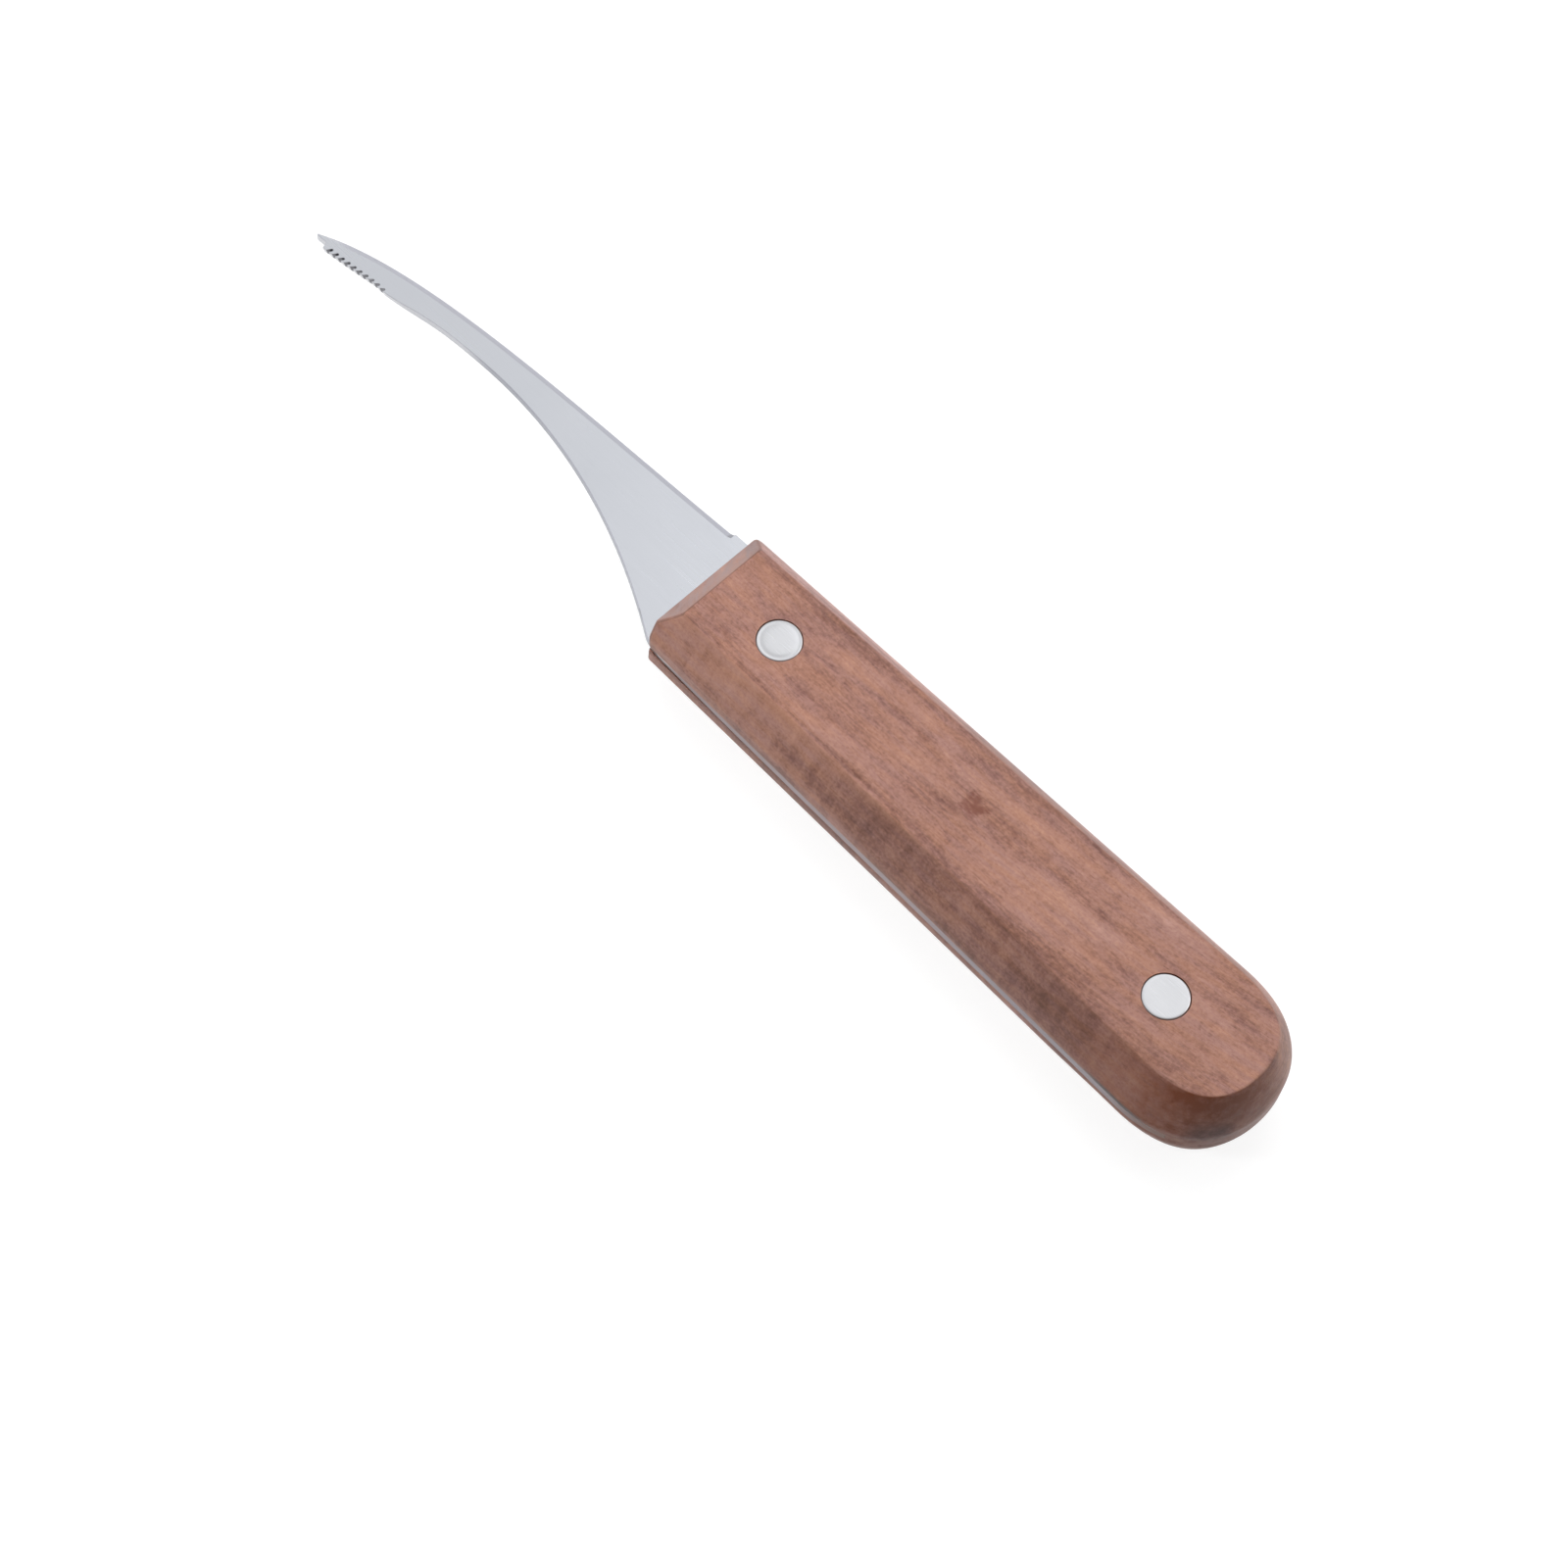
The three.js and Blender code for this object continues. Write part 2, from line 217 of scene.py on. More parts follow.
def roundBar(profile, steps):  # solid turned from (radius, height) points, the first and last on the axis
    bm = bmesh.new()
    verts = [bm.verts.new((radius * mm, 0, height * mm)) for radius, height in profile]
    edges = [bm.edges.new(pair) for pair in zip(verts, verts[1:])]
    bmesh.ops.spin(bm, geom=verts + edges, cent=(0, 0, 0), axis=(0, 0, 1), angle=2 * math.pi, steps=steps,
                   use_merge=True)
    bmesh.ops.remove_doubles(bm, verts=bm.verts, dist=0.002 * mm)
    bmesh.ops.recalc_face_normals(bm, faces=bm.faces)
    return bm


# camera, light and floor

camera = {
    "place": (0.134639, -0.162747, 0.400711),
    "turn": (26.0952, -3.43245, 45.33914),
    "lens": 83.8931, "sensor": 36, "near": 0.01,
}

light = {
    "world": 0.48, "darkSide": (0.72, -0.62, 0.3), "darkReach": (-0.1, 0.85), "darkness": 0.8,
    "softbox": {"place": (-0.5, 0.5, 1.1), "aim": (0, 0, 0), "size": 1.0,
                "spread": 180, "power": 10.8, "inGloss": False},
    "sideBox": {"place": (-0.42, -0.5, 0.4), "aim": (-0.035, 0, 0), "size": 0.25,
                "spread": 24, "power": 0.12, "inGloss": False},
    "rightBox": {"place": (0.6, 0.75, 0.6), "aim": (0.06, 0, 0), "size": 0.5,
                 "spread": 180, "power": 2.2, "inGloss": True},
    "gleam": {"place": (-0.2, 0.75, 1.15), "aim": (0, 0, 0), "size": 0.7,
              "spread": 180, "power": 0.8, "inGloss": True},
    "floorSize": 3, "floorDrop": 0.02,
    "floorGlow": 0.86, "floorFaint": 0.24, "floorColour": (0.6, 0.6, 0.61, 1),
}


def setCamera():
    lens = bpy.data.cameras.new("photoCamera")
    lens.lens = camera["lens"]
    lens.sensor_width = camera["sensor"]
    lens.clip_start = camera["near"]
    made = bpy.data.objects.new("photoCamera", lens)
    made.location = camera["place"]
    made.rotation_euler = [math.radians(a) for a in camera["turn"]]
    scene.collection.objects.link(made)
    scene.camera = made


def softLight(name):
    spec = light[name]
    lamp = bpy.data.lights.new(name, "AREA")
    lamp.size = spec["size"]
    lamp.energy = spec["power"]
    lamp.spread = math.radians(spec["spread"])
    made = bpy.data.objects.new(name, lamp)
    made.location = spec["place"]
    made.rotation_euler = (Vector(spec["aim"]) - made.location).to_track_quat("-Z", "Y").to_euler()
    made.visible_glossy = spec["inGloss"]
    scene.collection.objects.link(made)


def seenRay(wire):  # 1 for what the camera, a reflection or a refraction looks at
    path = wire.node("ShaderNodeLightPath", output="Is Camera Ray")
    mirrored = path.calc("MAXIMUM", path.other("Is Glossy Ray"), path.other("Is Transmission Ray"))
    return path.calc("MAXIMUM", path, mirrored)


def setWorld():  # white all round to the eye, with less light from the camera's side
    world = bpy.data.worlds.new("whiteStudio")
    world.use_nodes = True
    world.node_tree.nodes.clear()
    scene.world = world
    wire = Wire(world.node_tree)
    way = wire.node("ShaderNodeTexCoord", output="Generated")
    facing = measure("DOT_PRODUCT", way, light["darkSide"])
    shade = 1 - facing.ease(*light["darkReach"]) * light["darkness"]
    seen = seenRay(wire)
    direct = wire.node("ShaderNodeLightPath", output="Is Camera Ray")
    strength = (light["world"] + seen * (1 - light["world"])) * (shade + direct * (1 - shade))
    sky = wire.node("ShaderNodeBackground", {}, {"Color": (1, 1, 1, 1), "Strength": strength})
    wire.node("ShaderNodeOutputWorld", {}, {"Surface": sky})


def setFloor():
    bm = bmesh.new()
    bmesh.ops.create_grid(bm, x_segments=4, y_segments=4, size=light["floorSize"])
    bmesh.ops.translate(bm, verts=bm.verts, vec=(0, 0, -light["floorDrop"] * mm))
    floor = newPiece(bm, "paleFloor")
    made, wire = newMaterial("paleFloor")
    seen = seenRay(wire)
    plain = wire.node("ShaderNodeBsdfDiffuse", {}, {"Color": light["floorColour"]})
    faint = wire.node("ShaderNodeBsdfDiffuse", {}, {"Color": (light["floorFaint"],) * 3 + (1,)})
    glow = wire.node("ShaderNodeEmission", {}, {"Color": (1, 1, 1, 1), "Strength": light["floorGlow"]})
    lit = wire.node("ShaderNodeAddShader", {}, {0: faint, 1: glow})
    top = wire.node("ShaderNodeMixShader", {}, {0: seen, 1: plain, 2: lit})
    clear = wire.node("ShaderNodeBsdfTransparent")
    below = wire.node("ShaderNodeNewGeometry", output="Backfacing")
    sided = wire.node("ShaderNodeMixShader", {}, {0: below, 1: top, 2: clear})
    wire.node("ShaderNodeOutputMaterial", {}, {"Surface": sided})
    floor.data.materials.append(made)


setCamera()
for name in ("softbox", "sideBox", "rightBox", "gleam"):
    softLight(name)
setWorld()
setFloor()
print("camera, lights and floor set")


# wooden handle

handle = {  # millimetres
    "frontX": -10.52, "buttX": 82.425, "buttCurveX": 70,
    "frontHalf": 9.75, "buttHalf": 11.43,
    "fullness": 0.62, "faceFullness": 0.68,
    "cheek": 7.4, "slot": 1.2,
    "landFront": 1.9, "landButt": 0.9,
    "sideBevel": 3.25, "buttBevel": 2.45, "crown": 0.1,
    "slopeLength": 2.62, "slopeDrop": 3, "slopeSoft": 0.25,
    "corner": 0.7, "faceCorner": 0.45, "cornerPull": 0.45,
    "ridgeRound": 0.2, "ridgeSteps": 4, "ridgeSupport": 0.1,
    "mouthHeight": 0.45, "mouthFront": 0.12, "mouthSide": 0.06,  # eased edge where the tang comes out
    "mouthFade": (73, 77), "mouthLevels": (0.05, 0.3, 0.6, 1),
    "underTrim": (0.18, (58, 68), (72, 79)),  # the belly is sanded thinner under the end of the tang
    "slotEndX": 77.2, "sawRadius": 60, "sawSteps": 40, "overrun": 1,
    "sideSteps": 22, "buttSteps": 36, "cornerSteps": 7, "bevelSteps": 12,
    "frontShares": (0, 0.3, 0.6, 0.9, 0.985), "firstShare": 0.002,
    "landLevels": (1.15, 1.4, 1.65), "levelSpace": 0.12, "sharpAngle": 30,
}

rivet = {  # millimetres
    "place": {"front": (2.6, -0.57), "rear": (65.98, -0.54)},
    "headRadius": 2.85, "headHeight": 1.2, "sink": {"front": 0.01, "rear": 0.05}, "flare": 0.02,
    "grow": {"front": 1.005, "rear": 1.022},  # the rear head is a shade wider
    "gap": {"front": 0.03, "rear": 0.06},
    "offCentre": {"front": (-0.016, 0.016), "rear": (-0.045, 0.01)},
    "tubeRadius": 1.7, "tubeLength": 10.5, "boreRadius": 1.25, "boreDepth": 9.8,
    "shankRadius": 1.15, "shankLength": 11.6,
    "steps": 72, "sharpAngle": 35,
}

topZ = 2 * handle["cheek"] + handle["slot"]
middleZ = topZ / 2


def bevelShare(height, land):
    t = max(0, (height - land) / (handle["cheek"] - land))
    return t - 4 * handle["crown"] * t * (1 - t)


def softRamp(x, soft):  # 0 below, x above, and a smooth turn between them
    if abs(x) < soft:
        return (x + soft) ** 2 / (4 * soft)
    return max(0, x)


def handleRing(height, under):  # plan of the handle at a height over or under the slot
    h = handle
    share = bevelShare(height, h["landButt"])
    eased = max(0, 1 - height / h["mouthHeight"]) ** 2
    half = h["buttHalf"] - h["sideBevel"] * share
    endX = h["buttX"] - h["buttBevel"] * share
    full = between(h["fullness"], h["faceFullness"], share)
    curveX = h["buttCurveX"]
    startHalf = h["frontHalf"] - h["sideBevel"] * bevelShare(height, h["landFront"])
    slope = h["slopeLength"] / h["slopeDrop"]
    frontX = h["frontX"] + slope * softRamp(height - h["cheek"] + h["slopeDrop"], h["slopeSoft"])
    frontX += h["mouthFront"] * eased
    widen = (half - startHalf) / (curveX - h["frontX"])
    frontHalf = startHalf + widen * (frontX - h["frontX"])
    corner = between(h["corner"], h["faceCorner"], height / h["cheek"])
    reach = between(curveX, endX, full)
    sideStart = (frontX + corner, frontHalf + widen * corner)
    sideShares = [0, h["firstShare"]] + [i / h["sideSteps"] for i in range(1, h["sideSteps"])]
    pull = corner * h["cornerPull"]
    halfRing = []  # from the middle of the front round the upper side to the end
    halfRing += linePoints((frontX, 0), (frontX, frontHalf - corner), h["frontShares"])
    bend = [(frontX, frontHalf - corner), (frontX, frontHalf - pull), (frontX + pull, frontHalf), sideStart]
    halfRing += curvePoints(*bend, h["cornerSteps"])
    halfRing += linePoints(sideStart, (curveX, half), sideShares)
    butt = [(curveX, half), (reach, half), (endX, full * half), (endX, 0)]
    halfRing += curvePoints(*butt, h["buttSteps"])
    narrow = h["mouthSide"] * eased / half
    for p in halfRing:
        p.y *= 1 - narrow * (1 - easeBetween(p.x, *h["mouthFade"]))
    lower = [Vector((p.x, -p.y)) for p in halfRing]
    if under:
        trim, start, stop = h["underTrim"]
        for p in lower:
            p.y += trim * (1 - height / h["cheek"]) * easeBetween(p.x, *start) * (1 - easeBetween(p.x, *stop))
    return lower + [Vector((endX, 0))] + halfRing[:0:-1]


def handleHeights():
    h = handle
    steps = [between(h["landFront"], h["cheek"], i / h["bevelSteps"]) for i in range(1, h["bevelSteps"] + 1)]
    slopeStart = h["cheek"] - h["slopeDrop"]
    turn = [slopeStart + h["slopeSoft"] * k for k in (-1, -0.5, 0, 0.5, 1)]
    steps = [s for s in steps if min(abs(s - t) for t in turn) > h["levelSpace"]]
    mouth = [h["mouthHeight"] * share for share in h["mouthLevels"]]
    return mouth + sorted([h["landButt"], *h["landLevels"], h["landFront"]] + steps + turn)


def slotCutter():  # slab of the saw cut, with its round end
    h = handle
    half = h["buttHalf"] + h["overrun"]
    outX = h["frontX"] - h["overrun"]
    centreX = h["slotEndX"] - h["sawRadius"]
    sweep = math.asin(half / h["sawRadius"])
    arc = [-sweep + 2 * sweep * i / h["sawSteps"] for i in range(h["sawSteps"] + 1)]
    plan = [(centreX + h["sawRadius"] * math.cos(a), h["sawRadius"] * math.sin(a)) for a in arc]
    plan += [(outX, half), (outX, -half)]
    rings = [[Vector((x, y, middleZ + side * h["slot"] / 2)) * mm for x, y in plan] for side in (-1, 1)]
    return newPiece(loftRings(rings), "slotCutter")


def boreCutter(end):  # stepped bore for both heads and the tube
    r = rivet
    seat = r["headRadius"] * r["grow"][end] + r["gap"][end]
    bore = r["tubeRadius"] * r["grow"][end] + r["gap"][end]
    deep = r["headHeight"] + r["sink"][end]
    flare, out = r["flare"], handle["overrun"]
    lower = [(0, -out), (seat + flare + out, -out), (seat + flare, 0),
             (seat, flare), (seat, deep), (bore, deep)]
    upper = [(radius, topZ - height) for radius, height in reversed(lower)]
    bm = roundBar(lower + upper, r["steps"])
    bmesh.ops.translate(bm, verts=bm.verts, vec=Vector((*r["place"][end], 0)) * mm)
    return newPiece(bm, "boreCutter")


def makeHandle():
    h = handle
    heights = handleHeights()
    levels = [(height, middleZ - h["slot"] / 2 - height) for height in reversed(heights)]
    levels += [(height, middleZ + h["slot"] / 2 + height) for height in heights]
    rings = [[Vector((*p, z)) * mm for p in handleRing(height, z < middleZ)] for height, z in levels]
    bm = loftRings(rings)
    flats = [f for f in bm.faces if len(f.verts) > 4]
    ridges = list({e for f in flats for e in f.edges})
    bmesh.ops.bevel(bm, geom=ridges, offset=h["ridgeRound"] * mm, offset_type="OFFSET", affect="EDGES",
                    segments=h["ridgeSteps"], profile=0.5, material=-1, clamp_overlap=False)
    flats = [f for f in bm.faces if len(f.verts) > 4 and abs(f.normal.z) > 0.99]
    bmesh.ops.inset_region(bm, faces=flats, thickness=h["ridgeSupport"] * mm, use_even_offset=True)
    piece = newPiece(bm, "woodHandle")
    cutAway(piece, slotCutter())
    cutAway(piece, boreCutter("front"))
    cutAway(piece, boreCutter("rear"))
    shadeSmooth(piece, h["sharpAngle"])
    return piece


# finish of the handle

grain = {
    "rise": (28, 0.0015),  # the grain runs level up to here, then lifts towards the butt
    "ringTilt": 24, "sway": 1.3,
    "figure": {  # how close the marks lie along and across the grain, then their detail and roughness
        "cloud": (0.06, 0.35, 3, 0.55), "streaks": (0.06, 1.4, 4, 0.65), "fibres": (0.7, 3.6, 4, 0.7),
        "mottle": (0.45, 0.8, 4, 0.65), "curl": (0.55, 0.12, 3, 0.6), "pores": (0.9, 6, 1, 0.5),
        "veins": (0.11, 4.2, 2, 0.5), "hue": (0.14, 0.8, 3, 0.65)},
    "dark": (0.130, 0.058, 0.042), "deep": (0.240, 0.114, 0.085), "middle": (0.362, 0.181, 0.134),
    "light": (0.440, 0.234, 0.172), "pale": (0.53, 0.305, 0.228),
    "zones": (  # middle of a stripe on the face, its half width, where it starts and ends, how much lighter
        (6.2, 1.0, -14, 30, -0.08), (5.9, 1.4, -14, 2, -0.08), (4.0, 1.4, -14, 62, 0.07),
        (6.0, 1.0, 34, 66, 0.06), (1.4, 1.3, 30, 64, -0.05), (-2.2, 2.2, 3, 34, -0.14),
        (-3.4, 0.35, 5, 31, -0.06), (-1.4, 1.8, 47, 84, 0.06), (3.3, 0.4, 40, 84, -0.06),
        (-6.5, 0.4, -14, 34, -0.12), (-11.2, 3.8, 4, 62, -0.07), (-11.2, 3.6, 24, 60, -0.06),
        (1.6, 1.3, -14, 15, 0.06), (-7.6, 1.3, 2, 16, -0.08), (-7.6, 1.4, 28, 50, -0.08),
        (-11.4, 3.8, 54, 84, -0.08), (0.4, 0.9, 53, 76, -0.08), (4.6, 1.1, 68, 82, 0.1),
        (3.0, 1.0, 6, 16, 0.06), (-8.9, 1.1, 30, 42, -0.08), (4.7, 0.8, 16, 26, 0.09)),
    "zoneFade": (5, 6),
    "upperEdge": (0.021, 5.4, 6.5, -0.02, -0.19),  # darker grain along the upper ridge
    "knot": (34.0, 0.7, 16.0), "knotColour": (0.19, 0.068, 0.046),
    "sawnEnd": (0.3, 0.212, 0.197), "sawnTop": (0.235, 0.165, 0.158),  # the sloped front, low and high
    "rubbed": (0.46, 0.235, 0.148), "line": (0.15, 0.075, 0.058),
    "gap": (0.05, 0.032, 0.03),  # shadow over the end of the tang
    "buttShadeWay": (0.75, -0.66, 0), "endGrainAndShade": (0.170, 0.047, 0.019),  # darker end grain at the butt, with painted shade on its side turned from the light
    "shadow": (0.03, 0.02, 0.025),
    "amber": (1.02, 1.0, 0.935), "rosy": (0.955, 1.0, 1.11),
    # painted sheen, multiplied into the colour of the upper bevel and of the butt's lower edge
    "paintedUpperSheen": (1.42, 1.58, 1.9), "paintedButtSheen": (1.3, 1.5, 1.75),
}


def stripe(across, centre, width):
    off = across - centre
    return 1 - off.calc("ABSOLUTE", off).ease(width * 0.2, width * 1.3)


def oiledWood():
    g = grain
    made, wire = newMaterial("oiledWood")
    place = millimetres(wire)
    x, y, z = split(place)
    facing = wire.node("ShaderNodeNewGeometry", output="Normal")
    faceX, faceY, faceZ = split(facing)
    start, bend = g["rise"]
    past = (x - start).calc("MAXIMUM", x - start, 0)
    sway = noise(join(x * 0.03, y * 0.12, z * 0.12), 1, 2) - 0.5
    flow = y - past * past * bend + sway * g["sway"]
    tilt = math.radians(g["ringTilt"])
    deep = z - topZ
    across = flow * math.cos(tilt) + deep * math.sin(tilt)
    along = deep * math.cos(tilt) - flow * math.sin(tilt)

    def figure(name):
        length, width, detail, rough = g["figure"][name]
        return noise(join(x * length, across * width, along * width), 1, detail, rough)

    cloud, streaks, fibres, mottle, curl = map(figure, ("cloud", "streaks", "fibres", "mottle", "curl"))
    speck = noise(place, 2.4, 2, 0.6)
    belly = (0 - faceY).ease(0.4, 0.8)
    pores = figure("pores").ease(0.6, 0.72) * mottle.ease(0.38, 0.62)
    # painted shade: the butt darkened on its side turned from the light, together with its darker end grain
    towards = measure("DOT_PRODUCT", facing, g["buttShadeWay"])
    endGrainAndShade = towards.ease(0.35, 0.85) * x.ease(55, 71)
    blotch = noise(place, 0.75, 4, 0.6)
    # tone of the wood: 0 is its darkest colour, 1 its palest
    stringy = (streaks - 0.5) * 0.2 + (fibres - 0.5) * 0.54 + (mottle - 0.5) * 0.3
    tone = (cloud - 0.5) * 0.78 + stringy * (1 - belly * 0.62) + (speck - 0.5) * 0.42
    tone = tone + (curl - 0.5) * (0.1 + belly * 0.36) + (blotch - 0.5) * (0.16 + belly * 0.06 + endGrainAndShade * 0.5)
    veins = figure("veins").ease(0.6, 0.7)
    endRings = noise(join(x * 0.25, y * 0.25, z * 3), 1, 3, 0.6) - 0.5
    tone = tone - veins * 0.06 + endRings * faceX.ease(0.2, 0.5) * 0.85
    lowBelly = belly.calc("MAXIMUM", belly, endGrainAndShade) * (1 - z.ease(8.4, 11.2))
    tone = 0.485 + tone * (1 - endGrainAndShade * 0.25) - lowBelly * 0.08
    slant, low, high, front, rear = g["upperEdge"]
    upper = (y - x * slant).ease(low, high) * faceZ.ease(0.85, 0.97)
    # painted light on the upper bevel: painted shade over its rear part, which the painted sheen below lifts
    # again towards its outer edge
    upperShadeAndSheen = faceY.ease(0.3, 0.75) * (1 - x.ease(70, 78))
    tone = tone - upperShadeAndSheen * x.ease(14, 30) * 0.13
    tone = tone + upper * (0.4 + mottle * 1.2) * (front + x.ease(14, 34) * (1 - x.ease(58, 68)) * rear)
    fadeIn, fadeOut = g["zoneFade"]
    for centre, width, first, last, amount in g["zones"]:
        reach = x.ease(first - fadeIn, first + fadeIn) * (1 - x.ease(last - fadeOut, last + fadeOut))
        tone = tone + stripe(across, centre * math.cos(tilt), width) * reach * amount
    spot = measure("DISTANCE", place, g["knot"])
    knot = 1 - (spot + (blotch - 0.5) * 4 + (fibres - 0.5) * 2).ease(0.4, 2.1)
    ridge = faceZ.ease(0.5, 0.7) * (1 - faceZ.ease(0.93, 0.985))  # rubbed paler along the belly's ridge
    worn = ridge * faceX.ease(-0.35, -0.2) * (1 - faceY.ease(0.05, 0.3)) * (0.55 - x.ease(18, 42) * 0.35)
    frontLine = (0 - faceX).ease(0.12, 0.3) * (1 - (0 - faceX).ease(0.5, 0.66)) * (1 - x.ease(-6, -4))
    tone = tone + worn * 0.05 - knot * 0.06 - pores * 0.13
    stops = ((0.08, g["dark"]), (0.3, g["deep"]), (0.5, g["middle"]), (0.7, g["light"]), (0.92, g["pale"]))
    colour = wire.node("ShaderNodeValToRGB", {"stops": stops}, {"Fac": tone})
    hue = figure("hue").ease(0.3, 0.7)
    hueAndSheen = mixColour(hue, (*g["rosy"], 1), (*g["amber"], 1))
    # painted sheen on the upper bevel, growing towards its outer edge and stronger along its front
    pale = z.calc("MAXIMUM", 1 - z.ease(12.2, 15.4), 0.7 - x.ease(8, 32) * 0.7)
    hueAndSheen = mixColour(upperShadeAndSheen * pale, hueAndSheen, (*g["paintedUpperSheen"], 1))
    # painted sheen: the lower edge of the butt paler and bluer, as pale surroundings reflected at a grazing
    # angle
    paintedEndSheen = faceX.ease(0.45, 0.85) * (1 - z.ease(8.6, 11.5))
    hueAndSheen = mixColour(paintedEndSheen, hueAndSheen, (*g["paintedButtSheen"], 1))
    colour = wire.node("ShaderNodeVectorMath", {"operation": "MULTIPLY"}, {0: colour, 1: hueAndSheen})
    colour = mixColour(knot * 0.8, colour, (*g["knotColour"], 1))
    colour = mixColour(worn * (0.3 + mottle * 0.6), colour, (*g["rubbed"], 1))
    paintedEndSheen = paintedEndSheen * faceY.ease(-0.5, -0.2)
    # the butt's darker end grain and painted shade, less where the painted sheen lies
    endGrainAndShadeShare = 0.7 - paintedEndSheen * 0.3 + z.ease(11, 15) * 0.25 + (blotch - 0.5) * 2
    colour = mixColour(endGrainAndShade * endGrainAndShadeShare, colour, (*g["endGrainAndShade"], 1))
    # painted shadow: a dark patch low on the butt, on its side turned from the light
    paintedButtShadow = faceX.ease(0.45, 0.68) * (1 - faceY.ease(-0.5, -0.25)) * z.ease(8.4, 9.4) * (1 - z.ease(10.4, 13))
    colour = mixColour(paintedButtShadow * (0.5 + (blotch - 0.5) * 1.1), colour, (*g["shadow"], 1))
    # sawn front, with a darker line round it, painted shade along its low edge over the blade, and the
    # painted shadow over the end of the tang
    sawn = (0 - faceX).ease(0.45, 0.7) * (1 - x.ease(-6, -4))
    rays = noise(join(x * 0.6, (y + z * 0.9) * 1.1, z * 0.2), 1, 3, 0.6)
    sawnColour = mixColour(y.ease(0, 7), (*g["sawnEnd"], 1), (*g["sawnTop"], 1))
    colour = mixColour(sawn * (rays * 2 - 0.35), colour, sawnColour)
    paintedLowEdgeShade = sawn * (1 - z.ease(12.95, 13.3))
    colour = mixColour((frontLine + paintedLowEdgeShade) * (0.1 + fibres), colour, (*g["line"], 1))
    # painted shadow over the end of the tang, on the belly side only
    gap = x.ease(63, 67) * (1 - x.ease(71, 74.5)) * (1 - z.ease(9.15, 9.7)) * z.ease(8.2, 8.5)
    gap = gap * (1 - y.ease(-5, 0))
    colour = mixColour(gap * (0.65 + fibres * 0.5), colour, (*g["gap"], 1))
    gloss = 0.44 + (fibres - 0.5) * 0.25 + pores * 0.12 - worn * 0.06
    relief = fibres * 0.6 - pores * 0.8
    coat(wire, {"Base Color": colour, "Roughness": gloss, "Normal": bump(relief, 0.25, 0.00006),
                "Specular IOR Level": 0.27})
    return made


handlePiece = makeHandle()
fitPiece(handlePiece, "handle", oiledWood())
print("handle:", len(handlePiece.data.polygons), "faces")


# blade and tang

blade = {  # millimetres
    "tipX": -82.425, "tipY": 0.72, "tipRadius": 0.25, "tipNormal": 116.7,
    "convexHandles": ((-69.1, 7.6), (-41, 7.45)), "convexEnd": (-15.2, 8.77),
    "ricasso": (-14, 9),
    "concaveStart": (-80.3, -0.08), "concaveHandles": ((-65, 1.4), (-42.5, 9.75)),
    "concaveEnd": (-11.7, -8.8),
    "swell": (0.31, -72.4, -69.3, -68.2, -60),  # the concave edge is fuller behind the last tooth
    "toothFront": (-80.6, 0.55),
    "grind": 0.8, "tipGrind": 0.4, "tipGrindLength": 5, "edgeLand": 0.3, "plunge": (0.12, 0.5),
    "arris": 0.03, "concaveArris": (0.12, 0.17), "concaveFrom": (-58, -46),
    "gullets": 10, "firstGullet": -79.48, "pitch": 0.995, "gulletWidth": 0.34,
    "gulletDepth": (0.76, 0.52), "rake": (30, 44), "underShare": 0.3,
    "overhang": (0.25, -69.5, -64),  # how far the teeth stand out on the upper side, and where that ends
    "toothGap": 0.2, "mitre": 0.5,
    "tangLower": -9.6, "tangUpper": 9.05, "tangEnd": 77.17, "recess": 0.03,
    "heel": 4.8, "heelEased": 4,  # the concave edge's chamfer runs on over the first points of the heel
    "ledges": ((2, -9.92), (12, -10.16)), "flushX": 58,  # the tang's edge comes up to the wood by here
    "edgeSteps": 160, "fineSteps": 4, "arcSteps": 8, "buttSteps": 800, "buttStride": 12, "endSteps": 26,
    "sharpAngle": 20,
}


def gulletPoints(mouth, run, share):  # outline of one gullet, from its front wall to its rear wall
    b = blade
    depth = between(*b["gulletDepth"], share)
    rake = math.radians(between(*b["rake"], share))
    up = Vector((math.sin(rake), math.cos(rake)))
    side = Vector((math.cos(rake), -math.sin(rake)))
    radius = b["gulletWidth"] / 2
    reach = radius / run.dot(side)
    centre = mouth + up * (depth - radius)
    turns = [math.pi * (1 - i / b["arcSteps"]) for i in range(b["arcSteps"] + 1)]
    arc = [centre + side * radius * math.cos(a) + up * radius * math.sin(a) for a in turns]
    return [mouth - run * reach] + arc + [mouth + run * reach]


def concavePoints():  # the concave edge with its saw teeth, each point over the one on the under side
    b = blade
    fine = b["fineSteps"]
    line = curvePoints(b["concaveStart"], *b["concaveHandles"], b["concaveEnd"], b["edgeSteps"] * fine)
    swell, first, full, fade, gone = b["swell"]
    for p in line:
        p.y -= swell * easeBetween(p.x, first, full) * (1 - easeBetween(p.x, fade, gone))
    hang, fade, gone = b["overhang"]
    out = [Vector((0, hang * (1 - easeBetween(p.x, fade, gone)))) for p in line]
    points = [(line[0] - out[0], line[0])]
    last = line[0].x
    for number in range(b["gullets"]):
        mouthX = b["firstGullet"] + number * b["pitch"]
        index = next(i for i, p in enumerate(line) if p.x > mouthX)
        run = (line[index] - line[index - 1]).normalized()
        mouth = line[index - 1] + run * ((mouthX - line[index - 1].x) / run.x)
        inward = Vector((-run.y, run.x))
        for under in gulletPoints(mouth, run, number / (b["gullets"] - 1)):
            over = under - out[index]
            points.append((over, under - inward * (under - mouth).dot(inward) * (1 - b["underShare"])))
        last = points[-1][0].x
    return points + [(p - q, p) for p, q in zip(line[::fine], out[::fine]) if p.x > last + b["toothGap"]]


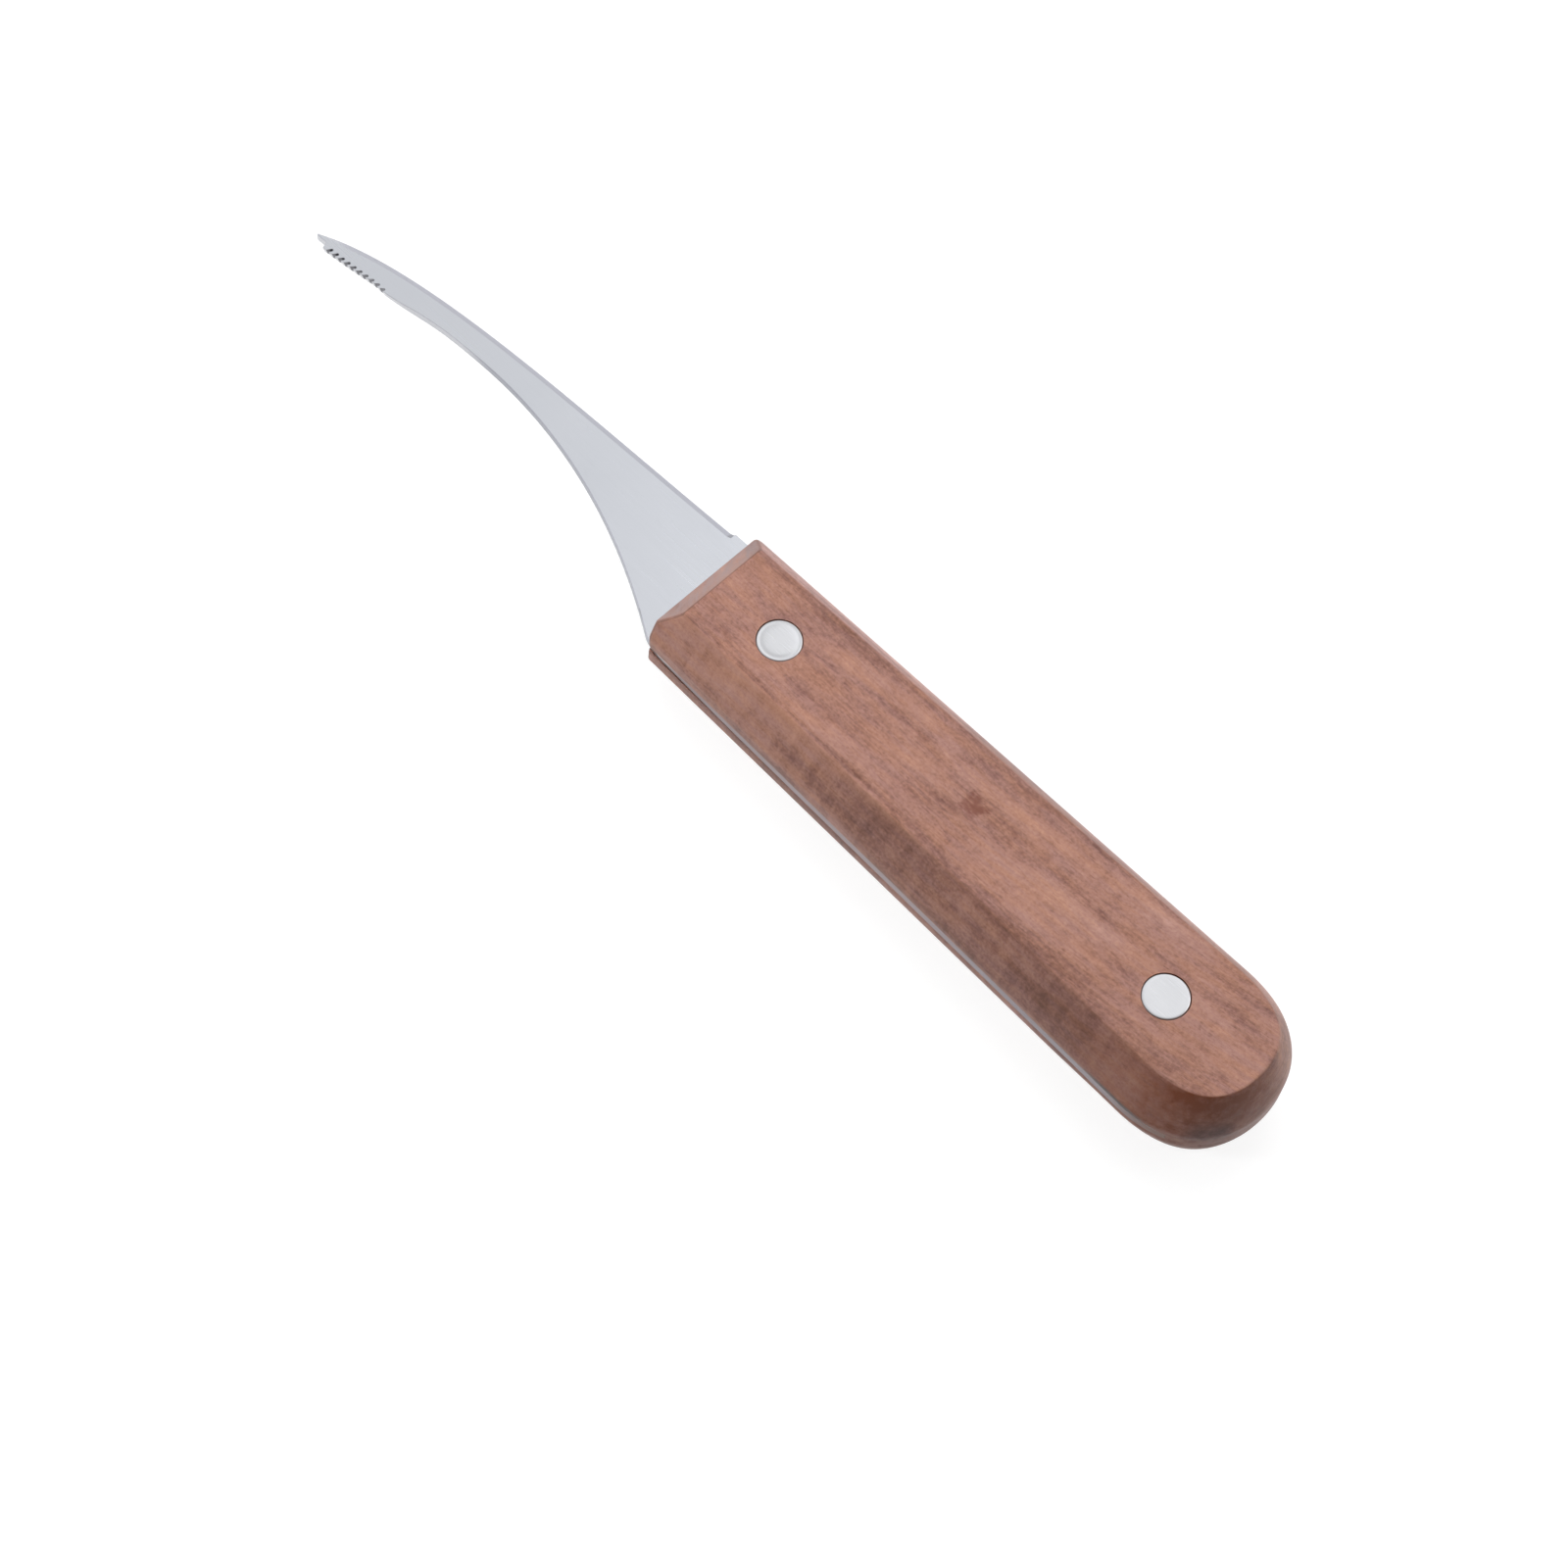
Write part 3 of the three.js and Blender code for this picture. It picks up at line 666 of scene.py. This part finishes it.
def bladeOutline():  # rows of edge point, face point, half height of the edge, shift of the under side
    b, h = blade, handle
    edgeHalf = b["edgeLand"] / 2
    plateHalf = h["slot"] / 2
    normal = math.radians(b["tipNormal"])
    tip = Vector((b["tipX"] + b["tipRadius"], b["tipY"]))
    start = tip + Vector((math.cos(normal), math.sin(normal))) * b["tipRadius"]
    end, ricasso = Vector(b["convexEnd"]), Vector(b["ricasso"])
    midX = (end.x + ricasso.x) / 2
    step = curvePoints(ricasso, (midX, ricasso.y), (midX, end.y), end, 2 * b["arcSteps"])
    convex = curvePoints(end, b["convexHandles"][1], b["convexHandles"][0], start, b["edgeSteps"])
    turns = [between(normal, 1.5 * math.pi, i / b["arcSteps"]) for i in range(b["arcSteps"] + 1)]
    nose = [tip + Vector((math.cos(a), math.sin(a))) * b["tipRadius"] for a in turns]
    lowerX = b["concaveEnd"][0]
    heel = interpolate_bezier(*[Vector((*p, 0)) for p in (
        b["concaveEnd"], (lowerX + b["heel"] / 6, between(b["concaveEnd"][1], b["tangLower"], 2 / 3)),
        (lowerX + b["heel"] / 2, b["tangLower"]), (lowerX + b["heel"], b["tangLower"]))], b["arcSteps"])
    heel = [p.to_2d() for p in heel]
    full = between(h["buttCurveX"], h["buttX"], h["fullness"])
    half = h["buttHalf"] - b["recess"]
    endX = h["buttX"] - b["recess"]
    butt = curvePoints((h["buttCurveX"], -half), (full, -half), (endX, -h["fullness"] * half), (endX, 0),
                       b["buttSteps"])
    along = (b["flushX"] - h["frontX"]) / (h["buttCurveX"] - h["frontX"])
    flush = Vector((b["flushX"], b["recess"] - between(h["frontHalf"], h["buttHalf"], along)))
    saw = h["sawRadius"]
    sawX = b["tangEnd"] - saw
    butt = [p for p in butt if (p - Vector((sawX, 0))).length < saw]
    stride = b["buttStride"]
    butt = butt[:-(stride // 2):stride] + butt[-1:]
    sweep = math.asin(-butt[-1].y / saw)
    turns = [between(-sweep, sweep, i / b["endSteps"]) for i in range(1, b["endSteps"])]
    endArc = [Vector((sawX + saw * math.cos(a), saw * math.sin(a))) for a in turns]
    upper = [Vector((p.x, -p.y)) for p in reversed(butt)]
    outline = step + convex + nose + [Vector(b["toothFront"])]
    concaveFirst = len(outline)
    teeth = concavePoints()
    outline += [over for over, under in teeth]
    heelFirst = len(outline) + b["heelEased"]
    outline += heel + [Vector(q) for q in b["ledges"]] + [flush] + butt + endArc + upper
    outline += [Vector((h["frontX"], b["tangUpper"]))]
    groundEnd = len(step) + len(convex)
    rows = []
    count = len(outline)
    for i, p in enumerate(outline):
        before = (p - outline[i - 1]).normalized()
        after = (outline[(i + 1) % count] - p).normalized()
        inward = Vector((-before.y - after.y, before.x + after.x)).normalized()
        inward = inward / max(b["mitre"], inward.dot(Vector((-after.y, after.x))))
        ground = 0
        if i < groundEnd:
            ground = easeBetween(ricasso.x - p.x, *b["plunge"])
            widening = easeBetween(p.x - b["tipX"], 0, b["tipGrindLength"])
            width = b["grind"] * between(b["tipGrind"], 1, widening)
        elif i < groundEnd + len(nose):
            ground = 1 - (i - groundEnd) / (len(nose) - 1)
            width = b["grind"] * b["tipGrind"]
        drawn = between(b["arris"], width, ground) if ground else b["arris"]
        high = between(plateHalf - b["arris"], edgeHalf, ground)
        if concaveFirst <= i < heelFirst:
            eased = easeBetween(p.x, *b["concaveFrom"])
            drawn = between(b["arris"], b["concaveArris"][0], eased)
            high = plateHalf - between(b["arris"], b["concaveArris"][1], eased)
        shift = Vector((0, 0))
        if concaveFirst <= i < concaveFirst + len(teeth):
            over, under = teeth[i - concaveFirst]
            shift = under - over
        rows.append((p, p + inward * drawn, high, shift))
    return rows


def makeBlade():
    rows = bladeOutline()
    plateHalf = handle["slot"] / 2
    rings = [
        [Vector((*(face + shift), middleZ - plateHalf)) * mm for edge, face, high, shift in rows],
        [Vector((*(edge + shift), middleZ - high)) * mm for edge, face, high, shift in rows],
        [Vector((*edge, middleZ + high)) * mm for edge, face, high, shift in rows],
        [Vector((*face, middleZ + plateHalf)) * mm for edge, face, high, shift in rows],
    ]
    piece = newPiece(loftRings(rings), "steelBlade")
    for end in ("front", "rear"):
        radius = rivet["tubeRadius"] * rivet["grow"][end] + rivet["gap"][end]
        bm = roundBar([(0, 0), (radius, 0), (radius, topZ), (0, topZ)], rivet["steps"])
        bmesh.ops.translate(bm, verts=bm.verts, vec=Vector((*rivet["place"][end], 0)) * mm)
        cutAway(piece, newPiece(bm, "tangDrill"))
    shadeSmooth(piece, blade["sharpAngle"])
    return piece


steel = {
    "colour": (0.575, 0.59, 0.63), "shade": (0.51, 0.53, 0.57),
    "ground": (0.485, 0.49, 0.545), "notch": (0.36, 0.365, 0.40),
    # edge and its brighter copy: painted shade and painted highlight on the plate's edge faces
    "edge": (0.34, 0.35, 0.39), "paintedEdgeHighlight": (0.53, 0.535, 0.565),
    "gullet": (0.17, 0.17, 0.185),
    "toothLine": (-80.3, (-0.39, 0.145), (0.72, 0.015)),  # where the tips of the teeth lie
    "lean": (0.58, 0.043), "gulletSide": (0.21, 0.28), "gulletEnd": (0.85, 1),
    "toothStart": (0.3, 0.4), "toothStop": (10.4, 10.6),
    # painted shade on the tang's edge in the slot, darkest towards the butt
    "tangMouth": (0.33, 0.268, 0.274), "tangFront": (0.35, 0.288, 0.296), "tangEdge": (0.29, 0.258, 0.278),
    "stain": (0.20, 0.115, 0.09),
    "roughness": 0.3,
}


def satinSteel():
    s = steel
    made, wire = newMaterial("satinSteel")
    place = millimetres(wire)
    x, y, z = split(place)
    facing = wire.node("ShaderNodeNewGeometry", output="Normal")
    faceZ = split(facing)[2]
    upright = faceZ.calc("ABSOLUTE", faceZ)
    brush = noise(join(x * 0.05, y * 7, z * 7), 1, 4, 0.65)
    cloud = noise(place, 0.08, 3)
    scuffs = noise(join(x * 0.25, (x * 0.4 + y) * 2.6, z), 1, 3, 0.6).ease(0.62, 0.75)
    colour = mixColour((brush - 0.5) * 0.35 + cloud * 0.5, (*s["colour"], 1), (*s["shade"], 1))
    ground = 1 - upright.ease(0.9, 0.97)
    colour = mixColour(ground, colour, (*s["ground"], 1))
    colour = mixColour(ground * x.ease(-15, -14.6) * (1 - x.ease(-14, -13.7)), colour, (*s["notch"], 1))
    # edge faces of the plate: painted shade on them along the middle of the blade, and a painted highlight
    # nearer the tip
    rim = 1 - upright.ease(0.3, 0.7)
    shaded = x.ease(-58, -52) * (1 - x.ease(-12, -8))
    colour = mixColour(rim, colour, mixColour(shaded, (*s["paintedEdgeHighlight"], 1), (*s["edge"], 1)))
    # painted shade on the walls of the gullets, counted along the line of the teeth
    firstX, steep, flat = s["toothLine"]
    run = x - firstX
    tips = run.calc("MINIMUM", run * steep[1] + steep[0], run * flat[1] + flat[0])
    depth = y - tips
    down = (middleZ + handle["slot"] / 2 - z) * (1 / handle["slot"])  # 0 on the upper face, 1 on the lower
    depth = depth.calc("DIVIDE", depth - down * blade["overhang"][0], 1 - down * (1 - blade["underShare"]))
    along = x - blade["firstGullet"]
    lean, more = s["lean"]
    turn = (along - depth * (lean + along * more)) * (1 / blade["pitch"]) + 0.5
    turn = turn.calc("FRACT", turn) - 0.5
    gullet = 1 - turn.calc("ABSOLUTE", turn).ease(*s["gulletSide"])
    gullet = gullet * (1 - depth.ease(*s["gulletEnd"]))
    gullet = gullet * run.ease(*s["toothStart"]) * (1 - run.ease(*s["toothStop"]))
    gullet = gullet * (1 - upright.ease(0.6, 0.85)) * z.ease(7.4, 7.9)  # walls, not the flat faces
    colour = mixColour(gullet, colour, (*s["gullet"], 1))
    # edge of the tang in the wood: rougher, with painted shade that darkens it more towards the butt, and
    # stained at its end
    inWood = rim * x.ease(-9.5, -4)
    paintedSeamShade = mixColour(x.ease(8, 20), (*s["tangMouth"], 1), (*s["tangFront"], 1))
    paintedSeamShade = mixColour(x.ease(34, 52), paintedSeamShade, (*s["tangEdge"], 1))
    colour = mixColour(inWood * (0.75 + brush * 0.4), colour, paintedSeamShade)
    soot = noise(join(x * 0.8, y * 0.8, z * 3), 1, 3)
    stain = inWood * (x + (soot - 0.5) * 6).ease(66, 76)
    colour = mixColour(stain, colour, (*s["stain"], 1))
    gloss = s["roughness"] + (brush - 0.5) * 0.16 + (cloud - 0.5) * 0.08 + inWood * 0.2 + scuffs * 0.06
    coat(wire, {"Base Color": colour, "Metallic": 1 - stain * 0.85, "Roughness": gloss,
                "Normal": bump(brush, 0.06, 0.00002)})
    return made


bladePiece = makeBlade()
fitPiece(bladePiece, "blade_tang", satinSteel())
print("blade:", len(bladePiece.data.polygons), "faces")


# rivets

heads = {  # sections from the middle of the face out, as (radius, drop), and their finish
    "front": ((0, 0.02), (1.2, 0.025), (1.8, 0.03), (2.02, 0.045), (2.2, 0.075), (2.36, 0.095), (2.48, 0.09),
              (2.58, 0.07), (2.67, 0.075), (2.75, 0.1), (2.81, 0.16), (2.84, 0.24), (2.85, 0.4)),
    "rear": ((0, 0.012), (1.5, 0.008), (2.4, 0), (2.6, 0), (2.68, 0.008), (2.75, 0.035), (2.81, 0.08),
             (2.84, 0.15), (2.85, 0.25)),
    "colour": (0.615, 0.62, 0.64), "shade": (0.53, 0.535, 0.56), "roughness": 0.3,
}


def rivetHalf(end, stem):  # head up, its face at height 0
    r = rivet
    under = r["headHeight"]
    profile = [(radius, -drop) for radius, drop in heads[end]]
    profile += [(r["headRadius"], -under)] + [(radius, -under - drop) for radius, drop in stem]
    return roundBar([(radius * r["grow"][end], height) for radius, height in profile], r["steps"])


def makeRivet(end):
    r = rivet
    x, y = Vector(r["place"][end]) + Vector(r["offCentre"][end])
    boreFloor = r["tubeLength"] - r["boreDepth"]
    tube = rivetHalf(end, [
        (r["tubeRadius"], 0), (r["tubeRadius"], r["tubeLength"]), (r["boreRadius"], r["tubeLength"]),
        (r["boreRadius"], boreFloor), (0, boreFloor)])
    bmesh.ops.translate(tube, verts=tube.verts, vec=Vector((x, y, topZ - r["sink"][end])) * mm)
    pin = rivetHalf(end, [(r["shankRadius"], 0), (r["shankRadius"], r["shankLength"]), (0, r["shankLength"])])
    bmesh.ops.scale(pin, verts=pin.verts, vec=(1, -1, -1))
    bmesh.ops.translate(pin, verts=pin.verts, vec=Vector((x, y, r["sink"][end])) * mm)
    return newPiece(tube, end + "RivetTube"), newPiece(pin, end + "RivetPin")


def sandedAluminium():
    made, wire = newMaterial("sandedAluminium")
    place = millimetres(wire)
    x, y, z = split(place)
    sanding = noise(join(x * 0.35, y * 9, z * 2), 1, 3, 0.6)
    cloud = noise(place, 0.5, 2)
    colour = mixColour((sanding - 0.5) * 0.5 + cloud * 0.4, (*heads["colour"], 1), (*heads["shade"], 1))
    gloss = heads["roughness"] + (sanding - 0.5) * 0.2
    coat(wire, {"Base Color": colour, "Metallic": 1.0, "Roughness": gloss,
                "Normal": bump(sanding, 0.08, 0.00002)})
    return made


aluminium = sandedAluminium()
for end in ("front", "rear"):
    tubePiece, pinPiece = makeRivet(end)
    shadeSmooth(tubePiece, rivet["sharpAngle"])
    shadeSmooth(pinPiece, rivet["sharpAngle"])
    fitPiece(tubePiece, end + "_rivet_female", aluminium)
    fitPiece(pinPiece, end + "_rivet_male", aluminium)
print("rivets set")
